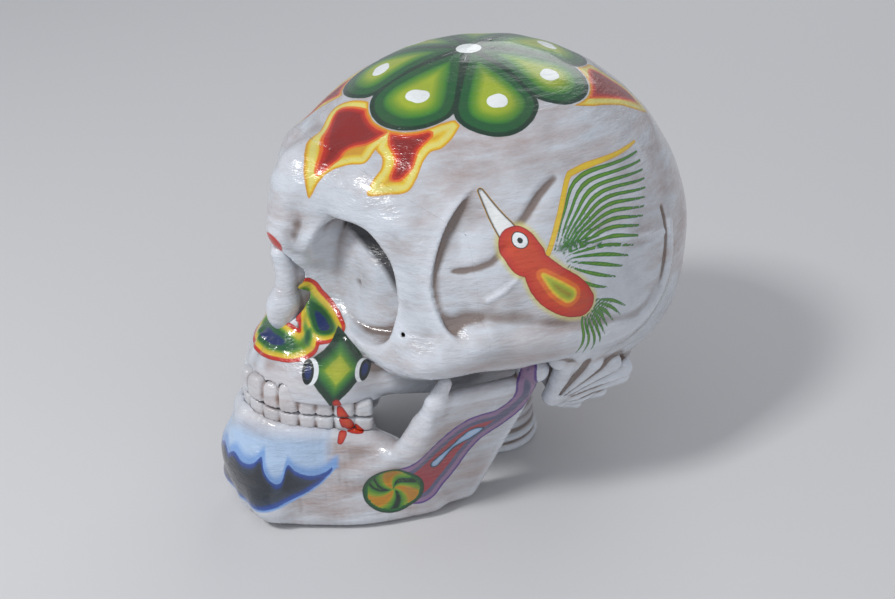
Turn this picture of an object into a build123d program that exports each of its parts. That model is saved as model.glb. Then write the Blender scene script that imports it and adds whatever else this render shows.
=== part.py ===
from build123d import *
from math import atan2, cos, degrees, hypot, radians, sin
import os

# A life-size painted skull, in millimetres. +Z is up and z = 0 is the table. The face looks along -Y and
# the skull's own left side is +X. The origin is the middle of the footprint. Shapes are drawn in a frame
# whose y = 0 is at the ear openings, and FRAME_Y moves them onto the origin.
FRAME_Y = 16.15

# Braincase: one ellipsoid for the outside, flattened underneath by a second one.
CASE_CENTRE = (0.0, -3.8, 89.3)
CASE_RADII = (74.3, 87.5, 80.7)
UNDER_CENTRE = (0.0, 2.0, 97.0)
UNDER_RADII = (92.0, 112.0, 58.0)
WALL = 5.5

# Seam between the vault and the base, which falls towards the back of the head.
SEAM_Y = -14.0
SEAM_Z = 117.0
SEAM_SLOPE = -0.19

# The face casting fills everything in front of this folded boundary.
FACE_BACK_Y = -44.0
BROW_TOP = (-78.0, 150.0)
GLUE_GAP = 0.2

# Face
MAXILLA_HALF_WIDTH = 30.0
MAXILLA_FRONT_Y = -103.0
MAXILLA_TOP_Z = 104.0
PALATE_Z = 50.0
CHEEK_BOTTOM_Z = 70.0
CHEEK_CENTRE = (47.0, -61.0, 81.0)
CHEEK_RADII = (11.0, 13.0, 13.0)
ORBIT_CENTRE = (26.0, -71.0, 111.0)
ORBIT_SIZE = (33.0, 35.0)
ORBIT_CORNER = 14.0
ORBIT_TURN = 22.0
ORBIT_DEPTH = 18.0
ORBIT_FLARE = 9.0
RIM_RADIUS = 6.0
APERTURE_FLOOR_Z = 76.0
APERTURE_TOP_Z = 107.0
APERTURE_HALF_WIDTH = 11.5
APERTURE_DEPTH_Y = -72.0

# Dental arch: half width and depth of the row of teeth, and how the biting plane rises to the front.
ARCH_FRONT_Y = -102.5
ARCH_DEPTH = 33.0
ARCH_HALF_WIDTH = 27.0
ARCH_POWER = 2.3
BITE_Z = 50.2
BITE_SLOPE = -0.126
BITE_GAP = 0.4
TOOTH_WIDTHS = (7.2, 6.2, 6.8, 6.2, 6.2, 7.6, 7.0)
TOOTH_DEPTHS = (5.0, 5.0, 6.0, 7.0, 7.0, 8.0, 8.0)
UPPER_TOOTH_HEIGHT = 10.5
LOWER_TOOTH_HEIGHT = 8.5
TOOTH_GAP = 0.35
SOCKET_GAP = 0.15

# Mandible and its hinge
HINGE = (-15.0, 62.0)
JAW_BODY_HEIGHT = 27.0
RAMUS_THICKNESS = 7.0
RAMUS_FOOT_X = 36.5
RAMUS_TOP_X = 52.5
CONDYLE_RADIUS = 6.0
CONDYLE_SPAN = (47.5, 62.5)
JAW_HALF_WIDTH = 42.0
JAW_FRONT_Y = -112.0
JAW_WALL = 12.0
RIDGE_HALF_WIDTH = 32.0
RIDGE_FRONT_Y = -109.0
RIDGE_WALL = 11.0
PIN_RADIUS = 2.0
PIN_CLEARANCE = 0.06
PIN_SPAN = (36.0, 60.0)
LUG_SPAN = (32.0, 46.5)

# Mastoid lumps behind the ears
MASTOID_ROOT = 14.0
MASTOID_TIP = 6.5

# Neck stub
STUB_CENTRE = (0.0, 3.0)
STUB_HEIGHT = 36.0
STUB_RINGS = 5
STUB_RADII = (21.5, 18.5)
SPIGOT_RADIUS = 13.0
SPIGOT_TOP = 56.0

# Distances safely outside the whole skull, for cutting solids.
FAR = 150.0


def ellipsoid(centre, radii):
    """A sphere stretched to three radii."""
    unit = 50.0
    return Pos(*centre) * scale(Sphere(unit), by=(radii[0] / unit, radii[1] / unit, radii[2] / unit))


def prism_x(points, x_low, x_high):
    """A polygon in the (y, z) plane, extruded along X."""
    outline = Polyline([(0, y, z) for y, z in points], close=True)
    return Pos(x_low, 0, 0) * extrude(make_face(outline), x_high - x_low, dir=(1, 0, 0))


def span_box(low, high):
    """A box given by its two corners."""
    size = [b - a for a, b in zip(low, high)]
    middle = [(a + b) / 2 for a, b in zip(low, high)]
    return Pos(*middle) * Box(*size)


def both_sides(solid):
    """A left-hand shape with its mirror image."""
    return solid + mirror(solid, about=Plane.YZ)


def seam_height(y):
    return SEAM_Z + SEAM_SLOPE * (y - SEAM_Y)


def face_region(gap):
    """The space in front of the boundary between braincase and face, its back drawn in by gap."""
    back = FACE_BACK_Y - gap
    brow_y, brow_z = BROW_TOP
    corner_z = seam_height(FACE_BACK_Y) - gap
    rise = (brow_z - gap - corner_z) / (brow_y - back)
    points = [(back, -20), (back, corner_z), (brow_y, brow_z - gap)]
    points += [(-FAR, brow_z - gap + rise * (-FAR - brow_y)), (-FAR, -20)]
    return prism_x(points, -FAR, FAR)


def above_seam():
    """The space over the seam between vault and base."""
    top = 2 * FAR
    return prism_x([(-FAR, seam_height(-FAR)), (FAR, seam_height(FAR)), (FAR, top), (-FAR, top)], -FAR, FAR)


def case(inset=0.0):
    """The braincase's outer form, or the smaller one that lies inset beneath it."""
    return ellipsoid(CASE_CENTRE, [r - inset for r in CASE_RADII])


def under(inset=0.0):
    """The form that flattens the braincase underneath."""
    return ellipsoid(UNDER_CENTRE, [r - inset for r in UNDER_RADII])


def cranial_vault():
    """The skull cap: the upper shell of the braincase, open underneath."""
    solid = (case() & above_seam()) - face_region(0)
    cavity = case(WALL) - face_region(-WALL)
    return solid - cavity


def jaw_pit(gap=0.0):
    """The space beside the base that the jaw's branches stand in, on the left."""
    return span_box((36 - gap, -110, 0), (110, -4 + gap, 74 + gap))


def mastoid(base):
    """The conical lump behind the ear, on the left, stuck on to the base."""
    root, tip = Vector(57, 11, 63), Vector(52, 7, 43)
    slant = tip - root
    cone = Solid.make_cone(MASTOID_ROOT, MASTOID_TIP, slant.length, Plane(root, z_dir=slant))
    lump = cone + Pos(*tip) * Sphere(MASTOID_TIP) + Pos(*root) * Sphere(MASTOID_ROOT)
    lump = (lump & case()) - base
    return max(lump.solids(), key=lambda solid: solid.volume)


def cranial_base():
    """The bowl under the vault, with hinge lugs and the opening for the neck."""
    solid = (case() & under()) - above_seam() - face_region(0)
    solid -= both_sides(jaw_pit())
    cavity = (case(WALL) & under(WALL)) - face_region(-WALL) - both_sides(jaw_pit(WALL))
    solid -= cavity
    lug = span_box((LUG_SPAN[0], HINGE[0] - 7, HINGE[1] - 8), (LUG_SPAN[1], HINGE[0] + 7, 78))
    solid += both_sides(lug)
    bore = Pos(39, HINGE[0], HINGE[1]) * Rot(0, 90, 0) * Cylinder(PIN_RADIUS + PIN_CLEARANCE, 24)
    solid -= both_sides(bore)
    neck_hole = Pos(STUB_CENTRE[0], STUB_CENTRE[1], 40) * Cylinder(SPIGOT_RADIUS + GLUE_GAP, 50)
    return solid - neck_hole


def orbit():
    """The left eye socket: a rounded square hollow that narrows to a blind back wall."""
    turn = radians(ORBIT_TURN)
    forward = Vector(sin(turn), -cos(turn), 0)
    back = Vector(*ORBIT_CENTRE) - forward * ORBIT_DEPTH
    across = Vector(cos(turn), sin(turn), 0)
    opening = RectangleRounded(*ORBIT_SIZE, ORBIT_CORNER)
    throat = Plane(back, x_dir=across, z_dir=forward) * offset(opening, -4)
    return extrude(throat, ORBIT_DEPTH + 30, taper=-ORBIT_FLARE)


def aperture():
    """The pear-shaped opening of the nose, blind at the back."""
    low_z = APERTURE_FLOOR_Z + APERTURE_HALF_WIDTH
    round_end = Circle(APERTURE_HALF_WIDTH)
    narrow_end = Pos(0, APERTURE_TOP_Z - low_z - 4) * Circle(4)
    outline = make_hull((round_end + narrow_end).edges())
    start = Plane((0, APERTURE_DEPTH_Y, low_z), x_dir=(1, 0, 0), z_dir=(0, -1, 0))
    return extrude(start * outline, 40)


def rod(points, radius):
    """A round bar along a smooth line through some points."""
    spine = Spline(*points)
    return sweep(Plane(spine @ 0, z_dir=spine % 0) * Circle(radius), path=spine)


def orbit_rim():
    """The left brow, outer rim and cheek edge round the eye socket."""
    upper = rod([(6, -80, 134), (24, -79, 135.5), (39, -70, 129), (44, -62, 114), (47, -62, 92)], RIM_RADIUS)
    lower = rod([(47, -62, 92), (38, -69, 86.5), (24, -75, 89), (14, -78, 101)], RIM_RADIUS - 1)
    return upper + lower + Pos(47, -62, 92) * Sphere(RIM_RADIUS)


def nasal_bones():
    """The broad bridge of the nose."""
    profile = [(-66, 146), (-83, 140), (-87, 134), (-94, 108), (-84, 104), (-66, 104)]
    bridge = prism_x(profile, -9.5, 9.5)
    front = bridge.edges().filter_by(lambda e: e.center().Y < -82 and abs(e.center().X) > 9)
    return fillet(front, 4.5)


def upper_jaw():
    """The block that holds the upper teeth, narrowing upwards."""
    middle_y = MAXILLA_FRONT_Y + ARCH_DEPTH
    low = Pos(0, middle_y, PALATE_Z) * Ellipse(MAXILLA_HALF_WIDTH, ARCH_DEPTH)
    high = Pos(0, middle_y - 1, MAXILLA_TOP_Z) * Ellipse(MAXILLA_HALF_WIDTH - 7, ARCH_DEPTH - 15)
    inner_x = MAXILLA_HALF_WIDTH - 1
    behind = span_box((-inner_x, middle_y, PALATE_Z), (inner_x, FACE_BACK_Y, MAXILLA_TOP_Z - 9))
    return loft([low, high]) + behind


def face():
    """Brow, eye sockets, nose, cheeks and upper jaw in one casting."""
    solid = case() & face_region(GLUE_GAP)
    solid += both_sides(ellipsoid(CHEEK_CENTRE, CHEEK_RADII))
    inner_x = MAXILLA_HALF_WIDTH - 1
    solid -= both_sides(span_box((inner_x, -FAR, -10), (FAR, -30, CHEEK_BOTTOM_Z + 5)))
    solid += upper_jaw()
    solid += both_sides(orbit_rim())
    solid += nasal_bones()
    solid &= face_region(GLUE_GAP)
    solid -= bite_slab(-60, UPPER_TOOTH_HEIGHT)
    solid -= orbit()
    solid -= mirror(orbit(), about=Plane.YZ)
    return solid - aperture()


def bite_height(y):
    """Height of the biting plane above the table."""
    return BITE_Z + BITE_SLOPE * (y - ARCH_FRONT_Y)


def bite_slab(low, high):
    """The space between two planes parallel to the biting plane."""
    front, back = -FAR, -20.0
    points = [(front, bite_height(front) + low), (back, bite_height(back) + low)]
    points += [(back, bite_height(back) + high), (front, bite_height(front) + high)]
    return prism_x(points, -FAR, FAR)


def arch_point(x):
    """Where the dental arch passes at a distance x from the middle."""
    return ARCH_FRONT_Y + ARCH_DEPTH * (x / ARCH_HALF_WIDTH) ** ARCH_POWER


def tooth_places():
    """The middle and the heading of each left tooth, walking round the arch in small steps."""
    step = 0.02
    places = []
    x, walked, start = 0.0, 0.0, 0.0
    for width in TOOTH_WIDTHS:
        target = start + width / 2
        while walked < target:
            walked += hypot(step, arch_point(x + step) - arch_point(x))
            x += step
        heading = atan2(arch_point(x + step) - arch_point(x), step)
        places.append((x, arch_point(x), degrees(heading)))
        start += width
    return places


def teeth(low, high):
    """Fourteen separate crowns between two heights over the biting plane."""
    row = []
    for (x, y, heading), width, depth in zip(tooth_places(), TOOTH_WIDTHS, TOOTH_DEPTHS):
        block = Box(width - TOOTH_GAP, depth, high - low)
        block = fillet(block.edges().filter_by(Axis.Z), 1.4)
        tilt = Rot(degrees(atan2(BITE_SLOPE, 1)), 0, 0)
        crown = Pos(x, y, bite_height(y) + (low + high) / 2) * tilt * Rot(0, 0, heading) * block
        row.append(crown)
        row.append(mirror(crown, about=Plane.YZ))
    return Compound(row)


def arch(*neighbours):
    """The left cheek arch, a bar from the cheek back to the root above the hinge."""
    spine = Spline((53, -58, 78), (63, -47, 81), (69, -34, 82.5), (70.5, -18, 80), (69, -4, 76))
    section = Plane(spine @ 0, z_dir=spine % 0) * Ellipse(3.6, 6.0)
    bar = sweep(section, path=spine)
    for neighbour in neighbours:
        bar -= neighbour
    return max(bar.solids(), key=lambda solid: solid.volume)


def nasal_septum():
    """The drop-shaped wall in the nose opening."""
    drop = ellipsoid((0, -90, 84.5), (5.0, 9.0, 7.5))
    plate = span_box((-1.6, -95, 84), (1.6, APERTURE_DEPTH_Y - GLUE_GAP, 101))
    return drop + plate


def horseshoe(outer_width, outer_front, thickness, back):
    """A U-shaped plan, open to the back."""
    def outline(width, front):
        knots = [(width, back), (width * 0.86, (back + front) / 2 + 8)]
        knots += [(width * 0.5, front + 6), (0, front)]
        return Spline(knots, tangents=[(-0.25, -1), (-1, 0)])

    outside = outline(outer_width, outer_front)
    inside = outline(outer_width - thickness, outer_front + thickness)
    closing = Line((outer_width, back), (outer_width - thickness, back))
    middle = Line((0, outer_front), (0, outer_front + thickness))
    return make_face([outside, middle, inside, closing])


def ramus():
    """The left branch of the jaw, with its notch, drawn flat and then leaned outwards."""
    front = Spline((-60, 20), (-58, 40), (-55, 58))
    coronoid = ThreePointArc((-55, 58), (-50, 65), (-44, 61))
    notch = Spline((-44, 61), (-32, 50), (-21, 58))
    rear = Spline((-8, 62), (-15, 46), (-21, 24), (-32, 0))
    top = Polyline((-21, 58), (-21, 66), (-8, 66), (-8, 62))
    foot = Polyline((-32, 0), (-60, 0), (-60, 20))
    outline = make_face([front, coronoid, notch, top, rear, foot])
    lean = degrees(atan2(RAMUS_TOP_X - RAMUS_FOOT_X, HINGE[1]))
    plate = extrude(Plane.YZ * outline, RAMUS_THICKNESS)
    return Pos(RAMUS_FOOT_X - RAMUS_THICKNESS / 2, 0, 0) * Rot(0, lean, 0) * plate


def mandible():
    """The lower jaw: body, chin, gum ridge, branches and condyles."""
    body = extrude(horseshoe(JAW_HALF_WIDTH, JAW_FRONT_Y, JAW_WALL, -30), JAW_BODY_HEIGHT)
    crest = horseshoe(RIDGE_HALF_WIDTH, RIDGE_FRONT_Y, RIDGE_WALL, -66)
    ridge = Pos(0, 0, JAW_BODY_HEIGHT - 2) * extrude(crest, 20)
    solid = both_sides(body + ridge)
    solid += ellipsoid((0, -106, 20), (17, 10, 18))
    solid += both_sides(ellipsoid((14, -101, 9), (10, 9, 9)))
    solid -= bite_slab(-LOWER_TOOTH_HEIGHT, 60)
    branch = ramus()
    middle = (CONDYLE_SPAN[0] + CONDYLE_SPAN[1]) / 2
    length = CONDYLE_SPAN[1] - CONDYLE_SPAN[0]
    condyle = Pos(middle, *HINGE) * Rot(0, 90, 0) * Cylinder(CONDYLE_RADIUS, length)
    neck = span_box((49, HINGE[0] - 5, HINGE[1] - 18), (57, HINGE[0] + 5, HINGE[1]))
    branch = branch + condyle + neck
    bore = Pos(middle - 2, *HINGE) * Rot(0, 90, 0) * Cylinder(PIN_RADIUS + PIN_CLEARANCE, length + 1)
    solid += both_sides(branch)
    solid -= both_sides(bore)
    return solid & span_box((-FAR, -FAR, 0), (FAR, FAR, FAR))


def jaw_pin():
    """The left hinge pin, fixed in the base's lug."""
    middle = (PIN_SPAN[0] + PIN_SPAN[1]) / 2
    return Pos(middle, *HINGE) * Rot(0, 90, 0) * Cylinder(PIN_RADIUS, PIN_SPAN[1] - PIN_SPAN[0])


def neck_stub():
    """The ridged stump of the neck, with a spigot that plugs into the base."""
    ring = STUB_HEIGHT / STUB_RINGS
    solid = Cylinder(STUB_RADII[1], STUB_HEIGHT, align=(Align.CENTER, Align.CENTER, Align.MIN))
    for i in range(STUB_RINGS):
        disc = Pos(0, 0, (i + 0.5) * ring) * Cylinder(STUB_RADII[0] - 0.5 * i, ring * 0.62)
        solid += fillet(disc.edges(), 1.5)
    solid += Cylinder(STUB_RADII[0] - 1, 3, align=(Align.CENTER, Align.CENTER, Align.MIN))
    spigot = Cylinder(SPIGOT_RADIUS, SPIGOT_TOP, align=(Align.CENTER, Align.CENTER, Align.MIN))
    return Pos(*STUB_CENTRE, 0) * (solid + spigot)


def write(name, shape):
    """One STEP per node, moved onto the shared origin."""
    solids = [Pos(0, FRAME_Y, 0) * solid for solid in shape.solids()]
    placed = solids[0] if len(solids) == 1 else Compound(solids)
    placed.label = name
    export_step(placed, f"parts/{name}.step")
    return placed


if __name__ == "__main__":
    os.makedirs("parts", exist_ok=True)
    base = cranial_base()
    front = face()
    left_arch = arch(base, front)
    left_mastoid = mastoid(base)
    left_pin = jaw_pin()
    nodes = {
        "cranial_vault": cranial_vault(),
        "cranial_base": base,
        "face": front,
        "left_zygomatic_arch": left_arch,
        "right_zygomatic_arch": mirror(left_arch, about=Plane.YZ),
        "left_mastoid": left_mastoid,
        "right_mastoid": mirror(left_mastoid, about=Plane.YZ),
        "nasal_septum": nasal_septum(),
        "upper_teeth": teeth(BITE_GAP / 2, UPPER_TOOTH_HEIGHT - SOCKET_GAP),
        "mandible": mandible(),
        "lower_teeth": teeth(-LOWER_TOOTH_HEIGHT + SOCKET_GAP, -BITE_GAP / 2),
        "neck_stub": neck_stub(),
        "left_jaw_pin": left_pin,
        "right_jaw_pin": mirror(left_pin, about=Plane.YZ),
    }
    box = None
    for name, shape in nodes.items():
        placed = write(name, shape)
        bounds = placed.bounding_box()
        box = bounds if box is None else box.add(bounds)
        print(name, [round(v, 1) for v in (*bounds.min, *bounds.max)])
    print("all", [round(v, 2) for v in (*box.min, *box.max)])
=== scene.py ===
import math

import bpy
import numpy as np
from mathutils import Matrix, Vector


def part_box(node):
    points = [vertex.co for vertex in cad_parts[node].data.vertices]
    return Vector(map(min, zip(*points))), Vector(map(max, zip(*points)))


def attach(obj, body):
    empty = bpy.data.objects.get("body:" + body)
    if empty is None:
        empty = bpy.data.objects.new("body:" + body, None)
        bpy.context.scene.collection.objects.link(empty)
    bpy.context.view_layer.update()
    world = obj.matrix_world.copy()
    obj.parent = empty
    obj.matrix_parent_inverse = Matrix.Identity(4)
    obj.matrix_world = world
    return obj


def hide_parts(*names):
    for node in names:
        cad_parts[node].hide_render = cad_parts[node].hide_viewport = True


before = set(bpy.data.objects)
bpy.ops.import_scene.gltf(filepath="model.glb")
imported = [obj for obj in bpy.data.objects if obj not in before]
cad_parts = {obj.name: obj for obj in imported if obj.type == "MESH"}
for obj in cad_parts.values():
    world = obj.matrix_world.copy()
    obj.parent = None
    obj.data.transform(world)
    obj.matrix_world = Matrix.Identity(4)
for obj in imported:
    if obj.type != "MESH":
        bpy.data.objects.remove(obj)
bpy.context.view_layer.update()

import openvdb
from mathutils import Matrix, Vector

# A painted plaster skull. The sculpting below is in millimetres, and every mesh is scaled to metres
# when it is made. The left half (x >= 0) is sculpted as a field of signed distances, mirrored, and cut
# into the pieces that the frame names.
MM = 0.001
VOXEL = 0.75
FINE_VOXEL = 0.42

pin_low, pin_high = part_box("left_jaw_pin")
HINGE_Y = (pin_low[1] + pin_high[1]) / 2 / MM
HINGE_Z = (pin_low[2] + pin_high[2]) / 2 / MM
EAR_Y = HINGE_Y + 15.0          # the ear openings; every y in the sculpting is measured from them

CASE_CENTRE = (0.0, -3.8, 89.3)
CASE_RADII = (74.3, 87.5, 80.7)
UNDER_CENTRE = (0.0, 2.0, 97.0)
UNDER_RADII = (92.0, 112.0, 58.0)
CHEEK_PIT = ((84, -74, 21), (50, 68, 50), 8)     # the block cut away beside the upper jaw
WALL = 5.5
SEAM = (-14.0, 117.0, -0.19)    # y, height and slope of the seam between vault and base
FACE_BACK_Y = -44.0
BROW_TOP = (-78.0, 150.0)
SEAM_GAP = 0.03
RELIEF_REACH = 2.2              # mm over which a surface counts as hollow or raised
FAR = 40.0                      # a distance well outside every shape

ARCH_FRONT_Y = -102.5
ARCH_DEPTH = 33.0
ARCH_HALF_WIDTH = 27.0
ARCH_POWER = 2.3
BITE_Z = 50.2
BITE_SLOPE = -0.126
BITE_GAP = 0.5
TOOTH_WIDTHS = (7.2, 6.2, 6.8, 6.2, 6.2, 7.6, 7.0)
TOOTH_DEPTHS = (5.2, 5.0, 6.2, 7.0, 7.2, 8.4, 8.2)
UPPER_CROWNS = (10.6, 10.2, 12.0, 9.2, 8.4, 8.4, 7.2)
LOWER_CROWNS = (7.0, 7.4, 9.0, 8.2, 7.2, 6.4, 6.2)
GUM_ABOVE, GUM_BELOW = 5.5, 4.5     # how far the gums come down round the crowns, from the biting plane


# ---------------------------------------------------------------- distances

def bounds_of(points, reach):
    points = np.array(points, float)
    return points.min(0) - reach, points.max(0) + reach


def turned(angle, tilt=0.0):
    """Rows of a rotation: first about Z, then a tilt about the turned X."""
    about_z = Matrix.Rotation(math.radians(-angle), 3, "Z")
    return np.array(Matrix.Rotation(math.radians(tilt), 3, "X") @ about_z)


def own_axes(x, y, z, centre, rows):
    """Places as seen from a shape's centre, along its own axes where rows gives them."""
    p = (x - centre[0], y - centre[1], z - centre[2])
    return p if rows is None else [row[0] * p[0] + row[1] * p[1] + row[2] * p[2] for row in rows]


def extent(centre, half, rows, turned_half):
    """The box that holds a shape, which is a cube when the shape is turned."""
    reach = np.array(half, float) if rows is None else np.full(3, turned_half)
    return np.array(centre) - reach, np.array(centre) + reach


def ellipsoid(centre, radii, rows=None):
    """A nearly true distance to an ellipsoid, whose axes are the rows of a rotation."""
    def distance(x, y, z):
        p = own_axes(x, y, z, centre, rows)
        k0 = np.sqrt(sum((a / r) ** 2 for a, r in zip(p, radii)))
        k1 = np.sqrt(sum((a / r ** 2) ** 2 for a, r in zip(p, radii)))
        return k0 * (k0 - 1) / np.maximum(k1, 1e-4)
    return distance, *extent(centre, radii, rows, float(max(radii)))


def rounded_box(centre, half, radius):
    def distance(x, y, z):
        q = [np.abs(a) - (h - radius) for a, h in zip(own_axes(x, y, z, centre, None), half)]
        outside = np.sqrt(sum(np.maximum(a, 0) ** 2 for a in q))
        inside = np.minimum(np.maximum(np.maximum(q[0], q[1]), q[2]), 0)
        return outside + inside - radius
    return distance, *extent(centre, half, None, 0.0)


def pillow(centre, half, rows, power=3.3):
    """A block with full faces and well rounded edges."""
    def distance(x, y, z):
        p = [np.abs(a) / h for a, h in zip(own_axes(x, y, z, centre, rows), half)]
        return (sum(a ** power for a in p) ** (1 / power) - 1) * min(half)
    return distance, *extent(centre, half, rows, float(np.linalg.norm(half)))


def limb(a, b, ra, rb):
    """A rounded bar from a to b whose radius goes from ra to rb."""
    a, b = np.array(a, float), np.array(b, float)
    way = b - a
    length = max(float(way @ way), 1e-6)

    def distance(x, y, z):
        px, py, pz = x - a[0], y - a[1], z - a[2]
        t = np.clip((px * way[0] + py * way[1] + pz * way[2]) / length, 0, 1)
        gap = np.sqrt((px - t * way[0]) ** 2 + (py - t * way[1]) ** 2 + (pz - t * way[2]) ** 2)
        return gap - (ra + t * (rb - ra))

    low, high = bounds_of([a, b], max(ra, rb))
    return distance, low, high


def between(p0, p1, p2, p3, t):
    """The Catmull-Rom curve from p1 to p2, at t."""
    return 0.5 * (2 * p1 + (p2 - p0) * t + (2 * p0 - 5 * p1 + 4 * p2 - p3) * t ** 2
                  + (3 * p1 - p0 - 3 * p2 + p3) * t ** 3)


def smooth_path(knots, step):
    """A Catmull-Rom line through knots of any number of values, sampled about every step mm."""
    knots = np.array(knots, float)
    ends = np.vstack([2 * knots[0] - knots[1], knots, 2 * knots[-1] - knots[-2]])
    out = []
    for i in range(1, len(ends) - 2):
        count = max(1, int(np.linalg.norm((ends[i + 1] - ends[i])[:3]) / step))
        out += [between(*ends[i - 1:i + 3], t) for t in np.arange(count) / count]
    out.append(knots[-1])
    return np.array(out)


def chain(knots, step=4.0):
    """Rounded bars along a smooth line. Each knot is x, y, z and radius."""
    path = smooth_path(knots, step)
    return [limb(a[:3], b[:3], a[3], b[3]) for a, b in zip(path, path[1:])]


def slab(knots, step=2.2):
    """A wall: bars side by side. Each knot is one bar's x, y, z, x, y, z and its two radii."""
    path = smooth_path(knots, step)
    return [limb(s[0:3], s[3:6], s[6], s[7]) for s in path]


def smoothstep(value, start, end):
    t = np.clip((value - start) / (end - start), 0, 1)
    return t * t * (3 - 2 * t)


def smooth_min(a, b, blend):
    if blend <= 0:
        return np.minimum(a, b)
    h = np.clip(0.5 + 0.5 * (b - a) / blend, 0, 1)
    return b + (a - b) * h - blend * h * (1 - h)


def smooth_max(a, b, blend):
    return -smooth_min(-a, -b, blend)


class Field:
    """Signed distances in mm on a grid, negative inside. y is measured from the ears."""

    def __init__(self, low, high, voxel):
        self.voxel = voxel
        self.axes = [np.arange(a, b + voxel, voxel, dtype=np.float32) for a, b in zip(low, high)]
        self.values = np.full([len(a) for a in self.axes], FAR, np.float32)

    def like(self, axes, values):
        twin = Field.__new__(Field)
        twin.voxel, twin.axes, twin.values = self.voxel, axes, values
        return twin

    def places(self):
        return self.axes[0][:, None, None], self.axes[1][None, :, None], self.axes[2][None, None, :]

    def window(self, low, high, margin):
        parts = []
        for axis, a, b in zip(self.axes, low, high):
            parts.append(slice(int(np.searchsorted(axis, a - margin)),
                               int(np.searchsorted(axis, b + margin))))
        x, y, z = (axis[part] for axis, part in zip(self.axes, parts))
        return tuple(parts), x[:, None, None], y[None, :, None], z[None, None, :]

    def merge(self, shapes, blend, rule):
        """Joins the shapes with plain edges between them, and then with the field by rule."""
        shapes = shapes if isinstance(shapes, list) else [shapes]
        low = np.min([s[1] for s in shapes], axis=0)
        high = np.max([s[2] for s in shapes], axis=0)
        parts, *_ = self.window(low, high, blend + 2 * self.voxel)
        if any(p.stop <= p.start for p in parts):
            return self
        joined = np.full(self.values[parts].shape, FAR, np.float32)
        for distance, a, b in shapes:
            inner, x, y, z = self.window(a, b, blend + 2 * self.voxel)
            if any(p.stop <= p.start for p in inner):
                continue
            spot = tuple(slice(i.start - p.start, i.stop - p.start) for i, p in zip(inner, parts))
            joined[spot] = np.minimum(joined[spot], distance(x, y, z))
        self.values[parts] = rule(self.values[parts], joined, blend)
        return self

    def add(self, shapes, blend=0.0):
        return self.merge(shapes, blend, smooth_min)

    def cut(self, shapes, blend=0.0):
        return self.merge(shapes, blend, lambda a, b, k: smooth_max(a, -b, k))

    def keep(self, distance, blend=0.0):
        """Keeps what lies inside a distance function, over the whole grid."""
        other = np.broadcast_to(distance(*self.places()), self.values.shape)
        self.values = smooth_max(self.values, other, blend).astype(np.float32)
        return self

    def mirrored(self):
        across = np.concatenate([-self.axes[0][:0:-1], self.axes[0]])
        return self.like([across, *self.axes[1:]], np.concatenate([self.values[:0:-1], self.values]))

    def surface(self):
        """Points in mm in the frame's own directions, and quads."""
        band = 3 * self.voxel
        grid = openvdb.FloatGrid(band)
        grid.copyFromArray(np.clip(self.values, -band, band))
        points, quads = grid.convertToQuads()
        points = np.array(points, float) * self.voxel + [axis[0] for axis in self.axes]
        points[:, 1] += EAR_Y
        return points, quads


# ---------------------------------------------------------------- the head

def seam_height(y):
    return SEAM[1] + SEAM[2] * (y - SEAM[0])


def face_side(x, y, z):
    """Negative in front of the folded boundary between face and braincase."""
    corner = seam_height(FACE_BACK_Y)
    slope = (BROW_TOP[1] - corner) / (BROW_TOP[0] - FACE_BACK_Y)
    over = (z - corner - slope * (y - FACE_BACK_Y)) / math.hypot(1, slope)
    return np.maximum(y - FACE_BACK_Y, over) + 0 * x


def seam_side(x, y, z):
    """Positive above the seam between vault and base."""
    return (z - seam_height(y)) / math.hypot(1, SEAM[2]) + 0 * x


def tooth_places():
    """The middle and heading of each left tooth, walking round the arch in small steps."""
    def arch(x):
        return ARCH_FRONT_Y + ARCH_DEPTH * (x / ARCH_HALF_WIDTH) ** ARCH_POWER
    places = []
    step, x, walked, start = 0.02, 0.0, 0.0, 0.0
    for width in TOOTH_WIDTHS:
        while walked < start + width / 2:
            walked += math.hypot(step, arch(x + step) - arch(x))
            x += step
        places.append((x, arch(x), math.degrees(math.atan2(arch(x + step) - arch(x), step))))
        start += width
    return places


def bite_height(y):
    """The biting line: it falls quickly behind the front teeth and then runs nearly level."""
    return BITE_Z + BITE_SLOPE * (y - ARCH_FRONT_Y) + 1.8 * np.exp(-((y + 106) / 4) ** 2)


def crowns(heights, side, grow=0.0):
    """The left crowns over (side 1) or under (side -1) the biting line."""
    shapes = []
    rows = zip(tooth_places(), TOOTH_WIDTHS, TOOTH_DEPTHS, heights)
    for i, ((x, y, heading), width, depth, height) in enumerate(rows):
        out = 0.3 * math.sin(3.7 * i + side)
        turn = math.radians(heading)
        middle = bite_height(y) + side * (height / 2 - 0.9)
        centre = (x + out * math.sin(turn), y - out * math.cos(turn), middle)
        half = (width / 2 + 0.2 + grow, depth / 2 + grow, height / 2 + 0.9 + grow)
        shapes.append(pillow(centre, half, turned(heading + 2 * math.sin(2.9 * i))))
    return shapes


def underside(radii):
    """A bowl open upwards that flattens the braincase underneath."""
    bowl = ellipsoid(UNDER_CENTRE, radii)[0]
    return lambda x, y, z: bowl(x, y, np.minimum(z, UNDER_CENTRE[2]))


def braincase(head):
    head.add(ellipsoid(CASE_CENTRE, CASE_RADII))
    head.keep(underside(UNDER_RADII), 12)
    head.cut(rounded_box(*CHEEK_PIT), 6)


def temple(head):
    """The hollow of the temple: deepest behind its curved front edge, it fades towards the back."""
    case = ellipsoid(CASE_CENTRE, CASE_RADII)[0]

    def floor(x, y, z):
        behind = y + 58.5 - 0.0176 * (z - 105) ** 2
        rim = smoothstep(behind, -0.8, 1.6)
        fade = np.clip(1 - behind / 46, 0, 1) ** 1.3
        top = smoothstep(z, 141, 124)
        low = smoothstep(z, 78, 90)
        return case(x, y, z) + 4.8 * rim * fade * top * low

    head.keep(floor, 0.6)


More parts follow.
